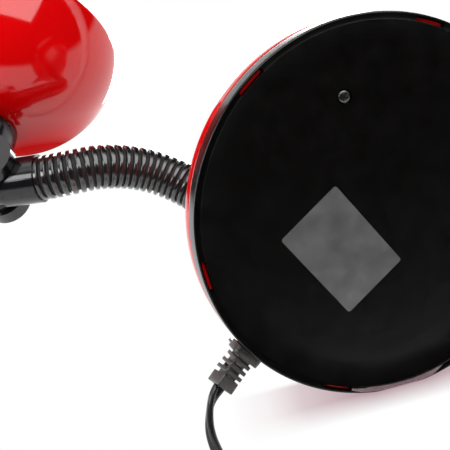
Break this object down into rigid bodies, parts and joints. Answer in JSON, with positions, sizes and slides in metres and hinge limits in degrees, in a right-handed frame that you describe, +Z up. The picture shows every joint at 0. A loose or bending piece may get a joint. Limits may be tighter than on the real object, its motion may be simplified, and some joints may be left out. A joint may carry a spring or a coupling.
{
  "type": "desk lamp",
  "caption": "Desk lamp with a weighted round red base, a black corrugated gooseneck, a tilting red dome shade and a coiled cord.",
  "frame": {"origin": "centre of the round base on the plane of its rim ring, which the lamp stands on", "axes": "+Z up out of the base, +Y towards the side where the mains cord leaves, the switch is on the -Y side"},
  "size_m": [0.2979, 0.2902, 0.2385],
  "materials": {
    "red_plastic": "gloss",
    "red_enamel": "gloss",
    "black_plastic": "satin",
    "black_gloss": "gloss",
    "neck_rubber": "satin",
    "cord_vinyl": "satin",
    "screw_steel": "satin",
    "weight_iron": "matte",
    "label_foil": "satin",
    "brass": "satin",
    "pin_metal": "polished",
    "block_plastic": "satin",
    "lead_cover": "satin"
  },
  "bodies": {
    "base": {"base_cover": "red_plastic", "base_plate": "black_plastic", "ballast_weight": "weight_iron", "base_screws": "screw_steel", "rating_label": "label_foil", "strain_relief": "black_plastic", "cord_clamp": "black_plastic", "clamp_screws": "screw_steel", "terminal_block": "block_plastic", "inner_cord": "cord_vinyl", "inner_leads": "lead_cover", "switch_housing": "black_gloss", "neck_root_collar": "black_gloss", "neck_nut": "screw_steel", "cord": "cord_vinyl", "cord_coil": "cord_vinyl", "cord_tail": "cord_vinyl", "cord_tie": "block_plastic", "plug_body": "black_plastic", "plug_pins": "pin_metal"},
    "neck_1": {"neck_sleeve_1": "neck_rubber", "neck_core_1": "screw_steel"},
    "neck_2": {"neck_sleeve_2": "neck_rubber", "neck_core_2": "screw_steel"},
    "neck_3": {"neck_sleeve_3": "neck_rubber", "neck_core_3": "screw_steel"},
    "neck_4": {"neck_sleeve_4": "neck_rubber", "neck_core_4": "screw_steel"},
    "neck_5": {"neck_sleeve_5": "neck_rubber", "neck_core_5": "screw_steel"},
    "neck_6": {"neck_sleeve_6": "neck_rubber", "neck_core_6": "screw_steel"},
    "neck_7": {"neck_sleeve_7": "neck_rubber", "neck_core_7": "screw_steel"},
    "neck_8": {"neck_sleeve_8": "neck_rubber", "neck_core_8": "screw_steel"},
    "neck_9": {"neck_sleeve_9": "neck_rubber", "neck_core_9": "screw_steel"},
    "neck_10": {"neck_sleeve_10": "neck_rubber", "neck_core_10": "screw_steel", "neck_end_sleeve": "black_gloss"},
    "lamp_head": {"knuckle_screw": "screw_steel", "knuckle_nut": "screw_steel", "holder_cap": "black_gloss", "holder_body": "black_gloss", "threaded_shell": "brass", "centre_contact": "brass", "shade_ring": "black_plastic", "shade": "red_enamel"},
    "rocker": {"switch_rocker": "black_gloss"}
  },
  "joints": [
    {"name": "neck_bend_1", "type": "hinge", "parent": "base", "child": "neck_1", "pos_m": [0, 0.036, 0.0425], "axis": [0, 1, 0], "range_deg": [-6, 10]},
    {"name": "neck_sway_2", "type": "hinge", "parent": "neck_1", "child": "neck_2", "pos_m": [-0.00279, 0.03649, 0.05738], "axis": [0.9563, 0.0058, 0.2923], "range_deg": [-6, 10]},
    {"name": "neck_bend_3", "type": "hinge", "parent": "neck_2", "child": "neck_3", "pos_m": [-0.00937, 0.03742, 0.07101], "axis": [0.0172, 0.9976, -0.0669], "range_deg": [-6, 10]},
    {"name": "neck_sway_4", "type": "hinge", "parent": "neck_3", "child": "neck_4", "pos_m": [-0.01868, 0.03871, 0.08293], "axis": [0.7434, 0.0345, 0.668], "range_deg": [-6, 10]},
    {"name": "neck_bend_5", "type": "hinge", "parent": "neck_4", "child": "neck_5", "pos_m": [-0.02975, 0.04045, 0.09318], "axis": [0.064, 0.991, -0.1179], "range_deg": [-6, 10]},
    {"name": "neck_sway_6", "type": "hinge", "parent": "neck_5", "child": "neck_6", "pos_m": [-0.04216, 0.04308, 0.10151], "axis": [0.5164, 0.0733, 0.8532], "range_deg": [-6, 10]},
    {"name": "neck_bend_7", "type": "hinge", "parent": "neck_6", "child": "neck_7", "pos_m": [-0.05556, 0.04784, 0.10672], "axis": [0.3213, 0.9164, -0.2387], "range_deg": [-6, 10]},
    {"name": "neck_sway_8", "type": "hinge", "parent": "neck_7", "child": "neck_8", "pos_m": [-0.06869, 0.05528, 0.10799], "axis": [0.1312, 0.2262, 0.9652], "range_deg": [-6, 10]},
    {"name": "neck_bend_9", "type": "hinge", "parent": "neck_8", "child": "neck_9", "pos_m": [-0.08018, 0.06516, 0.10724], "axis": [0.6972, 0.6711, -0.2521], "range_deg": [-6, 10]},
    {"name": "neck_sway_10", "type": "hinge", "parent": "neck_9", "child": "neck_10", "pos_m": [-0.08951, 0.07708, 0.10792], "axis": [0.2778, 0.054, 0.9591], "range_deg": [-6, 10]},
    {"name": "knuckle_tilt", "type": "hinge", "parent": "neck_10", "child": "lamp_head", "pos_m": [-0.11105, 0.10644, 0.12212], "axis": [0.7382, 0.1954, 0.6456], "range_deg": [-160, 15]},
    {"name": "switch_rock", "type": "hinge", "parent": "base", "child": "rocker", "pos_m": [0, -0.04567, 0.03363], "axis": [1, 0, 0], "range_deg": [0, 12]}
  ],
  "couplings": [
    {"joint": "neck_bend_3", "follows": "neck_bend_1", "ratio": 1},
    {"joint": "neck_bend_5", "follows": "neck_bend_1", "ratio": 1},
    {"joint": "neck_bend_9", "follows": "neck_bend_7", "ratio": 1},
    {"joint": "neck_sway_4", "follows": "neck_sway_2", "ratio": 1},
    {"joint": "neck_sway_8", "follows": "neck_sway_6", "ratio": 1},
    {"joint": "neck_sway_10", "follows": "neck_sway_6", "ratio": 1}
  ]
}
